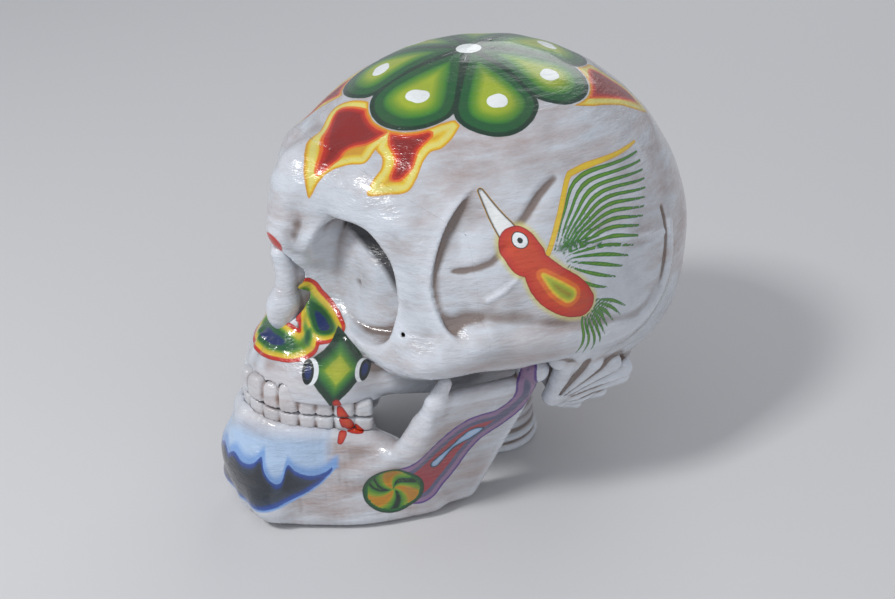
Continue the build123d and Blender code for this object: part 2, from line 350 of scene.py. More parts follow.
def on_head(head, y, z, lift=0.0):
    """The point of the left side as sculpted so far, lifted out of it by lift."""
    j = int(np.searchsorted(head.axes[1], y))
    k = int(np.searchsorted(head.axes[2], z))
    inside = np.nonzero(head.values[:, j, k] < 0)[0]
    i = inside[-1]
    a, b = head.values[i, j, k], head.values[i + 1, j, k]
    return (float(head.axes[0][i] + head.voxel * a / (a - b)) + lift, y, z)


def temple_lines(head):
    """The creases and raised lines on the side of the braincase."""
    crease = [on_head(head, y, z, 0.5) + (r,) for y, z, r in
              ((-56, 111, 0.9), (-47, 111.5, 1.2), (-39, 114, 1.2), (-33, 118.5, 0.7))]
    head.cut(chain(crease), 2)
    furrow = [on_head(head, y, z, 0.6) + (r,) for y, z, r in
              ((-29, 124, 0.3), (-24, 128.5, 0.8), (-18, 134, 0.8), (-11, 138, 0.2))]
    head.cut(chain(furrow), 3)
    for line, radius in (
            (((-41, 101), (-36, 104), (-31, 108)), 0.9),
            (((-13, 118), (0, 117), (14, 113), (26, 110), (37, 107.5)), 0.9)):
        head.add(chain([on_head(head, y, z, -0.2) + (radius,) for y, z in line]), 1.2)
    back_edge = [on_head(head, y, z, 0.3) + (1.0,) for y, z in
                 ((38, 116), (39, 108), (38, 100), (35, 92), (31, 85))]
    head.cut(chain(back_edge), 1.5)
    ridge = [on_head(head, y, z, -1.8) + (r,) for y, z, r in
             ((-44, 89, 2.4), (-30, 86, 3.2), (-14, 83, 3.4), (6, 79, 3.2), (20, 78, 3.0), (30, 83, 2.8),
              (36, 90, 2.5), (40, 99, 2.2), (41, 108, 1.8))]
    head.add(chain(ridge), 3.5)


# Rim plane of the left eye socket: it faces forward and a little outward.
ORBIT_MIDDLE = (26.5, -70.0, 102.0)
ORBIT_ACROSS = (0.927, 0.375)
ORBIT_FORWARD = (0.375, -0.927)


def orbit_frame(x, y, z):
    """Distances across, up and out of the left eye socket's rim plane."""
    dx, dy = x - ORBIT_MIDDLE[0], y - ORBIT_MIDDLE[1]
    across = dx * ORBIT_ACROSS[0] + dy * ORBIT_ACROSS[1]
    return across, z - ORBIT_MIDDLE[2], dx * ORBIT_FORWARD[0] + dy * ORBIT_FORWARD[1]


def orbit_point(across, up, out, radius):
    """A knot of a line given in the eye socket's own directions."""
    return (ORBIT_MIDDLE[0] + across * ORBIT_ACROSS[0] + out * ORBIT_FORWARD[0],
            ORBIT_MIDDLE[1] + across * ORBIT_ACROSS[1] + out * ORBIT_FORWARD[1], ORBIT_MIDDLE[2] + up, radius)


def face_front(head):
    """Draws the casting's front back between brow and teeth, so that the sockets and cheeks stand out."""
    def beyond(x, y, z):
        across, up, out = orbit_frame(x, y, z)
        return np.maximum(np.maximum(1.0 - out, up - 22), 6 - x)
    head.cut((beyond, np.array((0.0, -130.0, 30.0)), np.array((80.0, -45.0, 126.0))), 7)


def upper_face(head):
    head.add(chain([(0, -73, 138, 7), (0, -76.5, 132, 9.5)]), 10)
    brow = [(9, -71, 133, 8), (21, -65.5, 132, 9), (30, -60.5, 128, 9), (38, -56, 121.5, 8.5),
            (43, -53.5, 113, 8.5), (46, -53.5, 103, 8.5), (47, -54.5, 93, 9), (45, -59, 86, 9)]
    head.add(chain(brow), 7)
    rim = [(10, -76, 128, 3), (18, -73.5, 130.5, 3.2), (27, -69.5, 128, 3.2), (36, -65, 121.5, 3),
           (42, -61.5, 113, 3), (45, -60.5, 104, 3)]
    head.add(chain(rim), 4)
    cheek = [(24.5, -69, 82.5, 6), (31.5, -67, 80.3, 7.8), (41, -63, 77.2, 8.8), (52, -58.5, 79.5, 8.6),
             (58, -50, 83, 8), (63, -41, 86, 7), (67, -26, 84.5, 6), (68.5, -12, 81, 5.4), (69, 2, 78.5, 4.5),
             (68, 14, 76.5, 3)]
    head.add(chain(cheek), 5)
    tubercle = [(63, -34, 80, 4), (63, -28, 75.5, 4), (64, -22, 77, 3.5)]
    head.add(chain(tubercle), 3)
    nose = [(0, -78, 135, 8.5), (0, -80, 130, 9.4), (0, -82.5, 122.5, 8.8), (0, -85.6, 115, 6.9)]
    head.add(chain(nose), 5)
    flank = [(11, -75, 124, 3.5), (10.5, -77, 114, 5.5), (10, -77.5, 100, 6.3), (11, -79, 88, 7),
             (15, -80, 77, 7.5)]
    head.add(chain(flank), 4)
    nose_side = [(10, -77.5, 126, 5), (9.5, -78.5, 118, 5.6), (8.5, -79.5, 110, 5.6), (8, -79, 104, 4.5)]
    head.add(chain(nose_side), 4)


def sockets(head):
    """The eye socket: a sheer wall under the brow and outer rim, and a shallow swelling at the back."""
    def hollow(x, y, z):
        across, up, out = orbit_frame(x, y, z)
        across = across - (0.8 - 0.2 * up)
        round_ = ((np.abs(across) / 15.8) ** 2.4 + (np.abs(up) / 22.0) ** 2.4) ** (1 / 2.4)
        wall = 15.5 * (round_ - 1) - 0.12 * np.clip(out, -20, 0)
        swell = 3.5 * np.exp(-(across ** 2 + up ** 2) / 90)
        depth = 9.5 + 0.26 * across + 0.28 * up - swell
        return np.maximum(wall, -depth - out)
    head.cut((hollow, np.array((4.0, -110.0, 74.0)), np.array((52.0, -44.0, 130.0))), 0.9)
    fissure = ((-4, 18, -11, 1.2), (5, 17, -12.5, 2.2), (11, 11, -13, 2.4), (14, 3, -12, 1.6),
               (14, -3, -10.5, 0.4))
    head.cut(chain([orbit_point(*p) for p in fissure], 3), 1)
    head.cut(ellipsoid((18, -80, 96), (12, 13, 15), turned(22)), 7)
    head.cut(ellipsoid((17.7, -66.3, 95.2), (1.4, 1.4, 1.4)), 0.8)
    # the hole in the cheekbone, and the crease between cheek and upper jaw
    head.cut(limb((49, -66.5, 88.5), (46, -64.5, 86.5), 0.9, 0.8), 0.8)
    head.cut(chain([(29.5, -76, 88, 1.2), (33, -78.5, 82, 1.6), (38, -79, 77.5, 1.4)]), 2.5)


def upper_jaw(head):
    head.add(ellipsoid((0, -74, 58), (29, 28, 22)), 6)
    head.add(rounded_box((0, -66, 66), (28.5, 18, 14), 9), 5)
    for (x, y, heading), width, height in zip(tooth_places(), TOOTH_WIDTHS, UPPER_CROWNS):
        gum = bite_height(y) + height
        neck, root = (x * 0.97, y + 2.4, gum - 4), (x * 0.93, y + 6.5, gum + 10)
        head.add(limb(neck, root, width * 0.46, width * 0.3), 2)


def nose_opening(head):
    head.cut(ellipsoid((0, -90, 86), (6.2, 17, 9)), 1.0)
    head.cut(ellipsoid((0, -90, 97), (4.8, 15, 12)), 1.0)


def mastoid_shapes():
    """The lump behind the ear, modelled as a fan of rolls that meet at its tip."""
    tip = (54, -5, 46)
    belly = [ellipsoid((51.5, 10, 54), (9.5, 17, 16), turned(8)), ellipsoid((49, 21, 51), (10, 14, 10))]
    ends = (((65, -6, 68), 4.0), ((66.5, 4, 65), 4.2), ((66, 13, 61), 4.2), ((63.5, 21, 55), 4.0),
            ((58.5, 25, 48), 3.8), ((53, 19, 41), 3.6), ((51, 9, 38), 3.2))
    return belly, [limb(tip, end, 3.4, radius) for end, radius in ends]


MASTOID_GROOVES = (
    ((70.5, -1, 67, 1.7), (65.5, -2.5, 58.5, 1.5), (59, -4.5, 49, 0.9)),
    ((71.0, 8.5, 64, 1.7), (66.5, 3.5, 56.5, 1.5), (59.5, -2.5, 48, 0.9)),
    ((69.5, 17, 59, 1.7), (65.5, 9, 54, 1.5), (59.5, -0.5, 47, 0.9)),
    ((66, 24, 51, 1.6), (63, 13.5, 49, 1.4), (59, 1, 46, 0.8)),
    ((60.5, 22.5, 43, 1.5), (59, 13, 43, 1.3), (57, 2, 43, 0.8)))


def mastoid(head):
    belly, rolls = mastoid_shapes()
    head.add(belly, 3)
    for roll in rolls:
        head.add(roll, 0.3)
    for groove in MASTOID_GROOVES:
        head.cut(chain(groove, 2), 0.6)
    head.add(ellipsoid((63.5, -9.5, 70), (4.5, 4, 6)), 1.2)


def irregular(head):
    """Slow hand-made unevenness over the whole surface."""
    x, y, z = head.places()
    wave = (np.sin(x / 9.1 + 1.3 * np.sin(z / 17)) * np.sin(y / 8.3 + 2) * np.sin(z / 10.7 + 1)
            + 0.6 * np.sin(x / 4.7 + y / 6.1) * np.sin(z / 5.3 - y / 7.7))
    head.values += (0.35 * wave).astype(np.float32)


def under_gums(x, y, z):
    return z - bite_height(y) - GUM_ABOVE + 0 * x


def head_field():
    head = Field((0, -112, 34), (80, 88, 174), VOXEL)
    braincase(head)
    temple(head)
    temple_lines(head)
    face_front(head)
    upper_jaw(head)
    upper_face(head)
    sockets(head)
    nose_opening(head)
    mastoid(head)
    head.cut((under_gums, np.array((-1, -140, 0)), np.array((34, -40, 70))), 1)
    head.cut(crowns(UPPER_CROWNS, 1, 0.1), 0.3)
    whole = head.mirrored()
    irregular(whole)
    return whole


# ---------------------------------------------------------------- the jaw

def jaw_field():
    jaw = Field((0, -120, -1.5), (66, 0, 74), VOXEL)
    body = [(0, -103, 8.5, 0, -104.5, 42, 8.5, 6), (13, -97, 8, 12, -98.5, 41, 8, 6),
            (22, -86, 7, 20.5, -87, 40, 7, 5.6), (29, -75, 6.6, 26, -76, 37, 6.6, 5.6),
            (33.5, -62, 6.6, 31, -67, 33, 6.6, 5.6), (36, -49, 6.8, 37, -58, 27, 6.8, 5.2)]
    jaw.add(slab(body), 0)
    branch = [(36, -52, 8, 38, -34, 8, 6.2, 6), (39, -58, 22, 42, -28, 20, 5, 4.6),
              (43, -58, 35, 46, -22, 34, 4.2, 4), (47, -56.5, 47, 50, -18, 46, 3.6, 3.8),
              (50, -55, 57, 53, -16, 55, 3.3, 3.6)]
    jaw.add(slab(branch), 3)
    jaw.add(chain([(50, -54, 56, 3.4), (51, -53, 61, 3.2), (51.5, -51, 65, 2.6)]), 2)
    jaw.add(chain([(53, -18, 54, 4), (54.5, -16, 60, 4)]), 2)
    jaw.add(ellipsoid((55, HINGE_Y - EAR_Y, HINGE_Z + 0.5), (7.5, 5.5, 5.5)), 2)
    oblique = [(46, -57.5, 46, 2.4), (42.5, -62, 37, 2.8), (37.5, -68, 30.5, 2.6), (31, -76, 26, 1.0)]
    jaw.add(chain(oblique), 8)
    jaw.add(ellipsoid((0, -105.5, 25), (17, 9.5, 14)), 6)
    jaw.add(ellipsoid((12, -103.5, 11), (9, 8, 8)), 5)
    for (x, y, heading), width, height in zip(tooth_places(), TOOTH_WIDTHS, LOWER_CROWNS):
        gum = bite_height(y) - height
        jaw.add(limb((x * 0.97, y + 2.2, gum + 3), (x, y + 1.5, gum - 10), width * 0.46, width * 0.3), 2)

    def over_gums(x, y, z):
        return np.maximum(np.maximum(bite_height(y) - GUM_BELOW - z, x - 36), y + 24)
    jaw.cut((over_gums, np.array((-1, -140, 30)), np.array((38, -20, 80))), 1)
    jaw.cut(crowns(LOWER_CROWNS, -1, 0.1), 0.3)
    jaw.keep(lambda x, y, z: -z + 0 * x + 0 * y, 2)
    return jaw.mirrored()


# ---------------------------------------------------------------- teeth, septum and neck

def tooth_row(heights, side):
    """One row of seven crowns a side, pressed together, ending at the biting line."""
    row = Field((0, -110, BITE_Z - 18), (36, -58, BITE_Z + 18), FINE_VOXEL)
    for crown in crowns(heights, side):
        row.add([crown], 0.3)

    def worn(x, y, z):
        return BITE_GAP / 2 - side * (z - bite_height(y)) + 0.35 * np.sin(x * 1.9 + y * 0.7) ** 2
    row.keep(worn, 0.5)
    return row.mirrored()


def septum_field():
    wall = Field((-9, -102, 70), (9, -70, 108), FINE_VOXEL)
    wall.add(ellipsoid((0, -88.5, 83), (4.9, 6.4, 8.5)))
    wall.add(chain([(0, -88.5, 106, 3.2), (0, -86.5, 99, 3.4), (0, -87, 92, 4.0), (0, -88, 85, 4.9)]), 3)
    wall.add(rounded_box((0, -80, 91), (1.8, 9, 14), 1), 2)
    return wall


def neck_field():
    neck = Field((-25, -22, -1.5), (25, 28, 56), VOXEL)
    cx, cy = 0.0, 3.0
    neck.add(limb((cx, cy, -4), (cx, cy, 60), 20.3, 14))
    for i in range(10):
        radius = 21.4 - 0.75 * i
        ring = (cx + 0.6 * math.sin(2 * i), cy + 0.5 * math.sin(5 * i), 1.5 + 4.6 * i)
        neck.add(ellipsoid(ring, (radius, radius, 4.0)), 1.2)
    neck.keep(lambda x, y, z: np.maximum(-z, z - 54) + 0 * x + 0 * y, 1)
    return neck


# ---------------------------------------------------------------- painting

# Paint colours, as linear red, green and blue.
WHITE = (0.62, 0.66, 0.72)
INK = (0.006, 0.012, 0.012)
BLACK_GREEN = (0.006, 0.035, 0.018)
DARK_GREEN = (0.012, 0.095, 0.028)
MID_GREEN = (0.045, 0.20, 0.025)
LEAF = (0.13, 0.28, 0.02)
LIME = (0.33, 0.42, 0.025)
PALE_YELLOW = (0.70, 0.62, 0.16)
YELLOW = (0.72, 0.50, 0.03)
OCHRE = (0.60, 0.30, 0.015)
OLIVE = (0.50, 0.42, 0.03)
GOLD = (0.50, 0.24, 0.012)
ORANGE = (0.72, 0.14, 0.012)
RED = (0.52, 0.022, 0.010)
DEEP_RED = (0.24, 0.010, 0.008)
NAVY = (0.012, 0.028, 0.12)
SKY = (0.22, 0.40, 0.66)
HAZE = (0.42, 0.56, 0.76)
VIOLET = (0.10, 0.045, 0.24)
MAUVE = (0.28, 0.17, 0.30)
GREY_VIOLET = (0.11, 0.11, 0.20)
BRICK = (0.36, 0.045, 0.06)
SLATE = (0.030, 0.045, 0.075)
SHADE = (0.045, 0.045, 0.05)

CROWN = np.array((4.0, -10.4, 169.7))    # middle of the painted flower
CROWN_ARC = 81.0                         # mean radius of the braincase round it
CROWN_LOWEST = 100                       # nothing of the crown's painting lies lower


def line_distance(points, path):
    """The distance to a line of knots x, y, z, radius, less the radius there: negative inside the stroke."""
    best = np.full(len(points), 1e3)
    for a, b in zip(path, path[1:]):
        way = b[:3] - a[:3]
        along = np.clip((points - a[:3]) @ way / max(way @ way, 1e-9), 0, 1)
        gap = np.linalg.norm(points - a[:3] - along[:, None] * way, axis=1)
        best = np.minimum(best, gap - (a[3] + along * (b[3] - a[3])))
    return best


def stroke(points, knots, step=1.5):
    return line_distance(points, smooth_path(knots, step))


def outline_distance(flat, corners):
    """Signed distance in a plane to a closed outline, negative inside."""
    corners = np.array(corners, float)
    best = np.full(len(flat), 1e3)
    inside = np.zeros(len(flat), bool)
    for a, b in zip(corners, np.roll(corners, -1, axis=0)):
        way = b - a
        along = np.clip((flat - a) @ way / (way @ way), 0, 1)
        best = np.minimum(best, np.linalg.norm(flat - a - along[:, None] * way, axis=1))
        if a[1] != b[1]:
            crosses = (a[1] > flat[:, 1]) != (b[1] > flat[:, 1])
            at = a[0] + (flat[:, 1] - a[1]) * (b[0] - a[0]) / (b[1] - a[1])
            inside ^= crosses & (flat[:, 0] < at)
    return np.where(inside, -best, best)


def soft_outline(corners, parts=4):
    """A closed outline rounded through its corners."""
    corners = np.array(corners, float)
    ring = []
    for i in range(len(corners)):
        four = [corners[(i + k) % len(corners)] for k in (-1, 0, 1, 2)]
        ring += [between(*four, t) for t in np.arange(parts) / parts]
    return np.array(ring)


def crown_chart(points):
    """The braincase unrolled about the crown: mm to the left and mm to the back of the flower's middle."""
    unit = (points - CASE_CENTRE) / CASE_RADII
    unit /= np.maximum(np.linalg.norm(unit, axis=1), 1e-6)[:, None]
    pole = (CROWN - CASE_CENTRE) / CASE_RADII
    pole /= np.linalg.norm(pole)
    arc = CROWN_ARC * np.arccos(np.clip(unit @ pole, -1, 1))
    normal = pole / CASE_RADII
    normal /= np.linalg.norm(normal)
    left = np.array((1.0, 0.0, 0.0)) - normal[0] * normal
    left /= np.linalg.norm(left)
    back = np.cross(normal, left)
    way = points - CROWN
    flat = np.stack([way @ left, way @ back], axis=1)
    flat *= (arc / np.maximum(np.linalg.norm(flat, axis=1), 1e-6))[:, None]
    return flat, arc


PETALS = 7
PETAL_TURN = math.radians(-67.4)
PETAL_REACH, PETAL_RADIUS = 29.8, 17.7
DOT_REACH = 32
PETAL_STRETCH = (1.0, 1.1, 1.02, 1.02, 1.0, 1.0, 1.0)


def flower(points):
    """Petals round the crown, the white dots in them and the white middle."""
    flat, arc = crown_chart(points)
    spaced = np.column_stack([flat, np.zeros(len(flat))])
    petals = np.full(len(points), 1e3)
    dots = arc - 4.6
    for i in range(PETALS):
        turn = PETAL_TURN + 2 * math.pi * i / PETALS
        out = np.array((math.cos(turn), math.sin(turn), 0.0))
        path = np.array([(*(out * 6), 3.0), (*(out * PETAL_REACH * PETAL_STRETCH[i]), PETAL_RADIUS)])
        across = np.array((-out[1], out[0], 0.0))
        share = math.pi / PETALS
        wedge = np.abs(spaced @ across) * math.cos(share) - (spaced @ out) * math.sin(share) - 1.1
        petal = smooth_max(line_distance(spaced, path), wedge, 3.0)
        petals = np.minimum(petals, petal)
        middle = out * DOT_REACH * PETAL_STRETCH[i]
        dot = np.array([(*(middle - across * 1.0), 2.9), (*(middle + across * 1.3), 3.2)])
        dots = np.minimum(dots, line_distance(spaced, dot))
    hidden = np.where(points[:, 2] < CROWN_LOWEST, 50.0, 0.0)
    return {"petal": petals + hidden, "petal_dot": dots + hidden}


FLAMES = (
    ((-14, -49.5), (-7, -43), (4, -40), (14, -41), (19.5, -47), (19.5, -53), (21, -58.5), (16, -62.5),
     (13, -67.5), (12, -72.5), (11.5, -78.5), (7.5, -73.5), (3.5, -68.5), (-2.5, -63.5), (-11.5, -56.5)),
    ((17, -43), (26, -37), (32.5, -26), (36.5, -31), (37.5, -37), (36, -41), (37.5, -46), (40, -50.5),
     (41.5, -55.5), (37.5, -60.5), (31.5, -65.5), (29, -61.5), (27.5, -56.5), (24, -53.5), (18.5, -52)),
    ((42, 17), (43, 27.5), (39, 43), (36.5, 56), (32, 67), (25, 68), (19, 58), (13, 42), (24, 33), (33, 28),
     (37, 22)),
    ((-18, -44), (-27, -37), (-33, -27), (-38, -33), (-40, -40), (-37, -45), (-39, -52), (-41, -58),
     (-35, -62), (-32, -55), (-27, -51)),
    ((-40, 20), (-44, 30), (-39, 44), (-38, 54), (-31, 64), (-24, 66), (-18, 56), (-14, 43), (-25, 34),
     (-33, 29)),
)
EMBERS = (
    ((-10.5, -50), (-4, -45.5), (7, -43), (16.5, -43.5), (15.5, -51.5), (9.5, -58), (11.5, -63.5),
     (10, -70.5), (5, -64), (-5.5, -57)),
    ((19, -44), (30, -36), (32, -43.5), (35.5, -49), (36, -54.5), (33, -56.5), (29, -51), (22, -48.5)),
    ((39, 27), (35, 43), (32, 55), (28, 62), (23.5, 58), (18, 43), (27, 37), (34, 31)),
    ((-21, -43.5), (-30, -36), (-34, -41), (-35.5, -50), (-37, -56), (-34, -57), (-30.5, -50), (-25, -47)),
    ((-39, 28), (-35, 44), (-33.5, 53), (-28, 60), (-23.5, 57), (-18, 45), (-28, 38), (-35, 32)),
)


def flames(points):
    """The flames between the petals: their outlines, and the red hearts inside them."""
    flat, _ = crown_chart(points)
    blaze, ember = (np.min([outline_distance(flat, soft_outline(corners)) for corners in shapes], axis=0)
                    for shapes in (FLAMES, EMBERS))
    petals = flower(points)["petal"]
    hidden = np.where(points[:, 2] < CROWN_LOWEST, 50.0, 0.0)
    return {"blaze": np.maximum(blaze, 0.4 - petals) + hidden,
            "ember": np.maximum(ember, 1.6 - petals) + hidden}


BIRD_HEAD = ((-28.9, 118.6, 6.4), (-27.0, 114.6, 6.6))
BIRD_BODY = ((-24.2, 111.5, 5.2), (-19.5, 104.2, 7.4), (-13.1, 99, 7.6), (-8.6, 95.8, 5.6))
BIRD_HEART = ((-22.3, 108.3, 0.8), (-17.5, 103, 2.6), (-13.3, 99.6, 2.9))
BIRD_BEAK = ((-37, 136.7, 0.3), (-34, 128.8, 1.7), (-31.2, 123, 3.0))
BIRD_EYE = (-28.1, 120.4)
WING_EDGE = ((-19.7, 115, 0.9), (-13.5, 125.6, 1.0), (-6.2, 136.6, 1.0), (-2, 138.4, 1.0), (8.5, 139.2, 0.9),
             (32, 139.5, 0.5))
WING_ROWS = 15
TAIL_MIDDLE, TAIL_START = (-7.5, 95.3), 5.3
TAIL_ROWS = 9


def side_chart(points):
    """The left side seen square on: y, height and nothing, far away on the other side."""
    flat = np.column_stack([points[:, 1], points[:, 2], np.zeros(len(points))])
    return flat, np.where(points[:, 0] < 15, 60.0, 0.0)


def flat_stroke(flat, knots, step=1.5):
    return stroke(flat, [(a, b, 0.0, r) for a, b, r in knots], step)


def wing_stroke(t):
    """One feather of the wing: from the shoulder up, over a bend and back, flatter towards the last."""
    return [(-17.4 + 3.8 * t ** 0.5, 115.6 - 6 * t ** 3, 0.15),
            (-11 + 30 * t * (1 - t), 127.0 - 10 * t - 11.5 * t * t, 0.5),
            (44 * t * (1 - t) - 4 * t, 136.6 - 27 * t - 8.5 * t * t, 0.7),
            (31 - 28 * t ** 2.2, 136.8 - 38.4 * t, 0.35)]


def tail_stroke(t):
    start, end = math.radians(-98 * t), math.radians(-20 - 76 * t)
    reach = 19 + 2.5 * math.cos(7.5 * t)
    first = np.array(TAIL_MIDDLE) + TAIL_START * np.array((math.cos(start), math.sin(start)))
    last = np.array(TAIL_MIDDLE) + reach * np.array((math.cos(end), math.sin(end)))
    middle = (first + last) / 2 + (0.7, 0.7)
    return [(*first, 0.35), (*middle, 0.7), (*last, 0.3)]


def bird(points):
    flat, hidden = side_chart(points)
    body = np.minimum(flat_stroke(flat, BIRD_HEAD), flat_stroke(flat, BIRD_BODY))
    beak = flat_stroke(flat, BIRD_BEAK)
    wing = np.full(len(points), 1e3)
    near = np.nonzero((hidden < 1) & (np.abs(flat[:, 0]) < 50) & (flat[:, 1] > 60) & (flat[:, 1] < 150))[0]
    strokes = [wing_stroke(i / (WING_ROWS - 1)) for i in range(WING_ROWS)]
    strokes += [tail_stroke(i / (TAIL_ROWS - 1)) for i in range(TAIL_ROWS)]
    for knots in strokes:
        wing[near] = np.minimum(wing[near], flat_stroke(flat[near], knots, 2.5))
    return {"bird_body": body + hidden, "bird_heart": flat_stroke(flat, BIRD_HEART) + hidden,
            "bird_beak": beak + hidden, "bird_halo": np.minimum(body, beak + 1) + hidden,
            "bird_pupil": np.hypot(flat[:, 0] - BIRD_EYE[0], flat[:, 1] - BIRD_EYE[1]) - 1.0 + hidden,
            "bird_wing": wing + hidden, "bird_edge": flat_stroke(flat, WING_EDGE) + hidden}


RIBBON = (((7, -82, 90, 2.2), (12, -80, 84.5, 3.2), (17, -80.5, 81.5, 3.4)),
          ((9, -83, 86, 0.6), (10, -86, 83.5, 0.6), (13, -87.5, 81, 1.0)),
          ((15.5, -87.5, 80.5, 1.6), (16.5, -90, 77.5, 2.6), (12.5, -92.5, 76, 3.2), (6.5, -94.5, 75, 3.6),
           (0, -95.5, 74.5, 3.8)))
LOZENGE = (28.6, -81.5, 68.5)
LOZENGE_TOP = np.array((-0.25, 0.12, 0.96))
LOZENGE_SIDE = np.array((0.30, 0.93, -0.2))
LOZENGE_HEIGHT, LOZENGE_WIDTH = 15.0, 11.8
LOZENGE_REACH = 24                 # nothing of the lozenge is painted farther from its middle
TONGUE = (((28.5, -83, 55, 0.8), (28.5, -80.5, 48, 1.4), (29, -80, 45, 1.4), (29.5, -82.5, 39, 0.3)),
          ((28.5, -80.5, 48, 1.4), (29, -78, 44, 1.3), (29.5, -74, 41, 0.3)))


def mirrored_side(points):
    """Both sides folded on to the left, for what is painted the same on each."""
    folded = points.copy()
    folded[:, 0] = np.abs(folded[:, 0])
    return folded


def lozenge_frame(points):
    way = mirrored_side(points) - LOZENGE
    return way @ LOZENGE_SIDE, way @ LOZENGE_TOP, np.linalg.norm(way, axis=1)


def muzzle(points):
    """The ribbon under the nose, the lozenges on the upper jaw and the forked tongues under them."""
    folded = mirrored_side(points)
    behind = np.where((points[:, 1] > -66) | (points[:, 2] > 100), FAR, 0.0)
    ribbon = np.min([stroke(folded, knots) for knots in RIBBON], axis=0)
    across, up, away = lozenge_frame(points)
    diamond = (np.abs(across) / LOZENGE_WIDTH + np.abs(up) / LOZENGE_HEIGHT - 1) * 9.6
    diamond = np.where(away < LOZENGE_REACH, diamond, FAR)
    far = np.where(away < LOZENGE_REACH, 0.0, FAR)
    eye = np.hypot((np.abs(across) - 9.9) / 2.0, (up + 0.6) / 4.6) * 2.8 - 2.8 + far
    white = np.hypot((np.abs(across) - 8.7) / 2.4, (up + 0.6) / 4.9) * 2.8 - 2.8 + far
    tongue = np.minimum(*[stroke(folded, knots) for knots in TONGUE])
    tip = np.linalg.norm(points - np.array((0.5, -93.5, 109.5)), axis=1) - 5.6
    return {"ribbon": ribbon + behind, "diamond": diamond + behind, "diamond_eye": eye + behind,
            "diamond_white": white + behind, "tongue": tongue, "nose_tip": tip}


SOCKET_FLOOR = (21, -66, 100)      # the wash is thin inside the eye sockets
SOCKET_SHADE = ((4, -70, 119, 0.5), (11, -65, 116, 1.4), (20.5, -62, 111, 2.0), (28, -59.5, 105, 1.6),
                (33, -59, 97, 0.6))


def socket_shade(points):
    return {"socket_shade": stroke(mirrored_side(points), SOCKET_SHADE)}


DISC = np.array((38.6, -65.8, 17.3))
DISC_SIDE = np.array((0.36, 0.93, 0.0))
DISC_RADIUS = 11.6
BAND = ((43, -57.5, 20, 11.0), (45.8, -51, 27, 10.2), (47.5, -45.5, 34, 9.0), (50, -38.5, 40, 7.6),
        (52, -28, 43, 5.2), (55, -20, 49, 4.6), (57, -18.5, 57, 4.2), (59, -19.5, 67, 3.0))
BAND_CORE = ((46, -51.8, 28.0, 1.5), (47.5, -45.5, 34.5, 0.8), (49.5, -38.5, 38.6, 1.9),
             (50.8, -34, 39.6, 0.4))
BEARD_TOP = ((0, 29), (5, 31.5), (12, 29.5), (18, 30.5), (21, 33), (23.5, 27.5), (27, 22), (30.5, 22.5),
             (33.5, 29.5), (38, 27), (46, 25), (55, 26), (63, 29.5))
BEARD_LOW = ((0, 9), (10, 10), (20, 11), (35, 15), (50, 21), (58, 25.5), (63, 29))


def curve_through(knots, at):
    """A smooth curve through (place, height) knots, read at places."""
    path = smooth_path([(a, b, 0.0) for a, b in knots], 0.5)
    return np.interp(at, path[:, 0], path[:, 1])


def jaw_paint(points):
    """Disc and band on each side, and the scalloped beard on the chin."""
    folded = mirrored_side(points)
    way = folded - DISC
    across, up = way @ DISC_SIDE, way[:, 2]
    radius, turn = np.hypot(across, up * 1.12), np.arctan2(up, across)
    x, y, z = folded.T
    off_side = np.where((x < 32.5 + 0.28 * (y + 62)) | (y > -30), FAR, 0.0)
    swirl = 5 - 2.9 * (1 + np.sin(3 * turn + radius * 0.26 + 0.6))
    swirl = swirl + np.maximum(radius - DISC_RADIUS + 1.5, 0) * 40
    band = stroke(folded, BAND)
    core = stroke(folded, BAND_CORE)
    inner = np.where(x < 35 + 0.3 * (z - 8) + 0.083 * (y + 58), FAR, 0.0)
    around = np.degrees(np.arctan2(folded[:, 0], -(points[:, 1] + 70)))
    top = curve_through(BEARD_TOP, around)
    low = curve_through(BEARD_LOW, around)
    beard = np.maximum(points[:, 2] - top, low - points[:, 2]) * 0.8
    beard = np.maximum(beard, (around - 61) * 0.7)
    haze = np.maximum(points[:, 2] - 42.0, around * 0.8 - 47)
    haze = np.maximum(haze, low + 4 - points[:, 2])
    behind = np.where(np.hypot(x, y + 70) < 32.5 - 0.13 * around, FAR, 0.0)
    return {"disc": radius - DISC_RADIUS + off_side, "disc_swirl": swirl, "band": band + inner,
            "band_core": core + inner, "beard": beard + behind, "haze": haze + behind,
            "beard_halo": np.maximum(beard, 2.5 * (low - z)) + behind}


def even(colour):
    return ((0.0, colour),)


